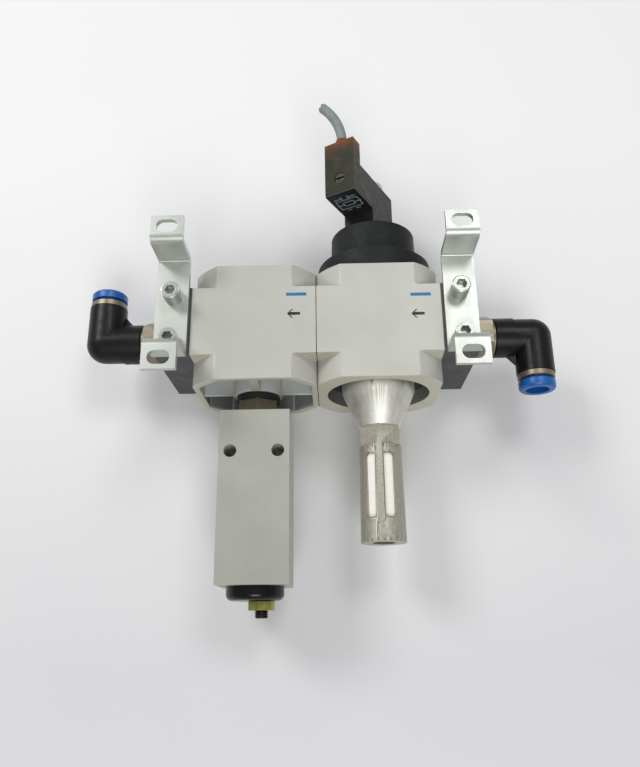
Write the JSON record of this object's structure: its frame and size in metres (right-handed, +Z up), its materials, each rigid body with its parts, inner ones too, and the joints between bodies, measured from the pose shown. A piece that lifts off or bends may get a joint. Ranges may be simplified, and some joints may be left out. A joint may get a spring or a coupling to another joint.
{
  "type": "compressed-air service unit",
  "caption": "Wall-mounted compressed-air unit: branching module with pressure switch, solenoid-piloted on-off valve with silencer, slotted brackets and push-in elbows.",
  "frame": {"origin": "centre of the four bracket slots, on the wall plane", "axes": "+X along the row of modules, against the air flow; -Y towards the wall; +Z up, towards the solenoid"},
  "size_m": [0.218, 0.0763, 0.2379],
  "materials": {
    "module_grey": "satin die-cast enamel, warm light grey",
    "switch_grey": "satin painted, warm light grey",
    "plate_black": "matt dark grey enamel",
    "zinc_steel": "bright zinc plate with a faint green cast",
    "screw_steel": "zinc-plated",
    "seal_rubber": "matt",
    "nickel_brass": "nickel-plated, satin",
    "elbow_black": "satin moulded",
    "ring_blue": "satin moulded",
    "spring_steel": "bright",
    "valve_brass": "machined",
    "machined_aluminium": "turned, satin",
    "insert_black": "matt",
    "cap_black": "matt moulded, bluish black",
    "armature_steel": "satin",
    "coil_grey": "matt moulded",
    "nut_clear": "clear moulded",
    "plug_black": "matt with printed contact symbols",
    "plug_amber": "translucent smoky amber",
    "cable_grey": "soft grey jacket",
    "wire_ends": "cut cores",
    "silencer_cast": "rough die-cast zinc",
    "silencer_white": "porous",
    "inlet_black": "matt",
    "pin_metal": "bright",
    "end_cap_gloss": "glossy moulded",
    "lock_nut_yellow": "yellow-green passivated",
    "spindle_black": "blackened thread"
  },
  "bodies": {
    "unit": {"left_module": "module_grey", "right_module": "module_grey", "joint_seal": "seal_rubber", "left_end_plate": "plate_black", "right_end_plate": "plate_black", "left_end_seal": "seal_rubber", "right_end_seal": "seal_rubber", "left_bracket": "zinc_steel", "right_bracket": "zinc_steel", "left_screw_upper": "screw_steel", "left_screw_lower": "screw_steel", "right_screw_upper": "screw_steel", "right_screw_lower": "screw_steel", "top_port_plug": "nickel_brass", "left_stud": "nickel_brass", "right_stud": "nickel_brass", "stem_guide": "valve_brass", "return_spring": "spring_steel", "bottom_insert": "insert_black", "pilot_cap": "cap_black", "armature_tube": "armature_steel", "plunger_spring": "spring_steel", "cone_adaptor": "machined_aluminium", "silencer_body": "silencer_cast", "silencer_insert": "silencer_white", "switch_nipple": "nickel_brass", "switch_seal": "seal_rubber", "switch_block": "switch_grey", "range_spring": "spring_steel", "micro_switch": "inlet_black", "switch_inlet": "inlet_black", "inlet_pins": "pin_metal", "switch_end_cap": "end_cap_gloss"},
    "left_elbow": {"left_elbow_body": "elbow_black", "left_elbow_collar": "nickel_brass", "left_grip_ring": "spring_steel", "left_tube_seal": "seal_rubber"},
    "left_release": {"left_release_ring": "ring_blue"},
    "right_elbow": {"right_elbow_body": "elbow_black", "right_elbow_collar": "nickel_brass", "right_grip_ring": "spring_steel", "right_tube_seal": "seal_rubber"},
    "right_release": {"right_release_ring": "ring_blue"},
    "valve_piston": {"valve_stem": "machined_aluminium", "piston_seal": "seal_rubber", "supply_poppet": "valve_brass", "exhaust_poppet": "valve_brass"},
    "plunger": {"pilot_plunger": "armature_steel"},
    "solenoid": {"coil_block": "coil_grey", "plug_base": "plug_black", "plug_housing": "plug_amber", "cable_stub": "cable_grey", "cable_wires": "wire_ends"},
    "retaining_nut": {"coil_nut": "nut_clear"},
    "plug_fixing": {"plug_screw": "screw_steel"},
    "pressure_piston": {"switch_piston": "valve_brass"},
    "range_seat": {"spring_seat": "armature_steel"},
    "spindle_nut": {"lock_nut": "lock_nut_yellow"},
    "spindle": {"adjusting_spindle": "spindle_black"}
  },
  "joints": [
    {"name": "left_elbow_swivel", "type": "hinge", "parent": "unit", "child": "left_elbow", "pos_m": [-0.0884, 0.047, -0.0056], "axis": [1, 0, 0], "continuous": true},
    {"name": "right_elbow_swivel", "type": "hinge", "parent": "unit", "child": "right_elbow", "pos_m": [0.0884, 0.047, -0.0056], "axis": [1, 0, 0], "continuous": true},
    {"name": "left_ring_press", "type": "slide", "parent": "left_elbow", "child": "left_release", "axis": [0, 0, -1], "range_m": [0, 0.0012], "stiffness_N_per_m": 800},
    {"name": "right_ring_press", "type": "slide", "parent": "right_elbow", "child": "right_release", "axis": [0, 0, 1], "range_m": [0, 0.0012], "stiffness_N_per_m": 800},
    {"name": "valve_stroke", "type": "slide", "parent": "unit", "child": "valve_piston", "axis": [0, 0, 1], "range_m": [0, 0.004], "stiffness_N_per_m": 1500, "deforming": ["return_spring"]},
    {"name": "plunger_stroke", "type": "slide", "parent": "unit", "child": "plunger", "axis": [0, 0, 1], "range_m": [0, 0.0008], "stiffness_N_per_m": 400, "deforming": ["plunger_spring"]},
    {"name": "solenoid_swivel", "type": "hinge", "parent": "unit", "child": "solenoid", "pos_m": [0.0275, 0.047, 0.047], "axis": [0, 0, 1], "continuous": true},
    {"name": "retaining_nut_turn", "type": "hinge", "parent": "unit", "child": "retaining_nut", "pos_m": [0.0275, 0.047, 0.073], "axis": [0, 0, 1], "continuous": true},
    {"name": "plug_screw_turn", "type": "hinge", "parent": "solenoid", "child": "plug_fixing", "pos_m": [0.01145, 0.01805, 0.0646], "axis": [0.4848, 0.8746, 0], "continuous": true},
    {"name": "pressure_stroke", "type": "slide", "parent": "unit", "child": "pressure_piston", "axis": [0, 0, -1], "range_m": [0, 0.001], "stiffness_N_per_m": 5000},
    {"name": "spindle_turn", "type": "hinge", "parent": "unit", "child": "spindle", "pos_m": [-0.0247, 0.047, -0.1286], "axis": [0, 0, 1], "range_deg": [-1082, 1082]},
    {"name": "seat_travel", "type": "slide", "parent": "unit", "child": "range_seat", "axis": [0, 0, 1], "range_m": [-0.003, 0.003], "deforming": ["range_spring"]},
    {"name": "lock_nut_turn", "type": "hinge", "parent": "unit", "child": "spindle_nut", "pos_m": [-0.0247, 0.047, -0.1246], "axis": [0, 0, 1], "continuous": true}
  ],
  "couplings": [
    {"joint": "spindle_turn", "follows": "seat_travel", "rad_per_m": 6283.2}
  ]
}
